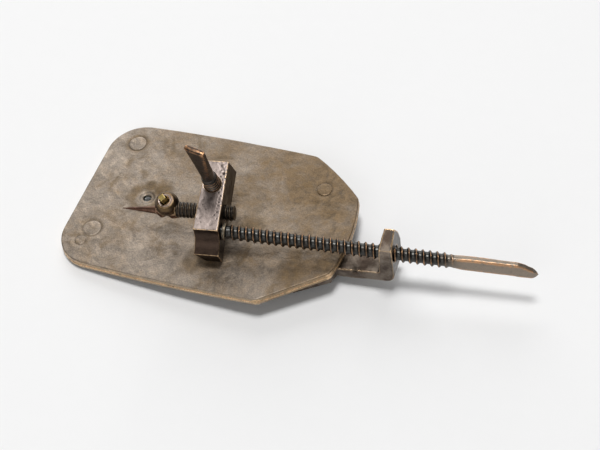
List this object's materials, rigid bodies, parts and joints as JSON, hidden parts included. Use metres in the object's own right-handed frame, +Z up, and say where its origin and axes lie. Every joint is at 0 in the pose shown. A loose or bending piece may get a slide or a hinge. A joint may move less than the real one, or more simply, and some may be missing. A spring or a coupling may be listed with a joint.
{
  "type": "single-lens microscope",
  "caption": "Hand-held single-lens microscope with riveted metal plates, an angle bracket, a long travel screw, a stage block, a focusing screw and a needle specimen holder.",
  "frame": {"origin": "under the middle of the whole instrument's box, on the level surface it lies on", "axes": "+X from the lens end of the plates to the thumb blade of the long screw, +Y across the plates, +Z up out of the specimen side"},
  "size_m": [0.0776, 0.0314, 0.0258],
  "materials": {
    "aged_plate": "aged grey-brown bronze, satin, mottled and lightly hammered",
    "dark_bronze": "dark brown bronze, rubbed bright on the edges",
    "gunmetal": "blue-black patina with bright thread crests",
    "worn_screw": "dark patina worn to gold on the grip",
    "grey_metal": "dull grey, lightly scored",
    "bright_brass": "bright filed brass",
    "copper_pin": "coppery, polished at the point",
    "lens_glass": "clear polished glass"
  },
  "bodies": {
    "plates": {"plate_specimen_side": "aged_plate", "plate_eye_side": "aged_plate", "lens": "lens_glass", "rivet_far_lens_end": "aged_plate", "rivet_near_lens_end": "aged_plate", "rivet_small_lens_end": "aged_plate", "rivet_far_handle_end": "aged_plate", "pivot_screw": "worn_screw"},
    "swing_bracket": {"bracket": "dark_bronze"},
    "carriage": {"screw_collar": "grey_metal"},
    "travel_screw": {"long_screw": "gunmetal"},
    "stage": {"stage_block": "dark_bronze"},
    "focusing": {"focus_screw": "worn_screw"},
    "specimen_holder": {"specimen_rod": "gunmetal", "clamp_peg": "bright_brass", "needle": "copper_pin"}
  },
  "joints": [
    {"name": "bracket_swing", "type": "hinge", "parent": "plates", "child": "swing_bracket", "pos_m": [-0.00141, -0.0041, 0.00446], "axis": [-0.0799, 0, 0.9968], "range_deg": [-6, 6]},
    {"name": "stage_travel", "type": "slide", "parent": "swing_bracket", "child": "carriage", "axis": [0.9868, 0.1589, -0.0322], "range_m": [-0.008, 0.0006]},
    {"name": "long_screw_turn", "type": "hinge", "parent": "carriage", "child": "travel_screw", "pos_m": [-0.01062, -0.00689, 0.00834], "axis": [0.9868, 0.1589, -0.0322], "range_deg": [-2562, 194]},
    {"name": "focus_tilt", "type": "hinge", "parent": "carriage", "child": "stage", "pos_m": [-0.01062, -0.00689, 0.00834], "axis": [0.9868, 0.1589, -0.0322], "range_deg": [-10, 1.5]},
    {"name": "focus_advance", "type": "slide", "parent": "stage", "child": "focusing", "axis": [-0.003, -0.2995, 0.9541], "range_m": [-0.00023, 0.00154]},
    {"name": "specimen_turn", "type": "hinge", "parent": "stage", "child": "specimen_holder", "pos_m": [-0.01115, -0.00382, 0.00904], "axis": [0.9857, 0.1598, 0.0533], "range_deg": [-180, 180]}
  ],
  "couplings": [
    {"joint": "long_screw_turn", "follows": "stage_travel", "rad_per_m": 5585.1},
    {"joint": "focus_advance", "follows": "focus_tilt", "m_per_rad": -0.00878}
  ]
}
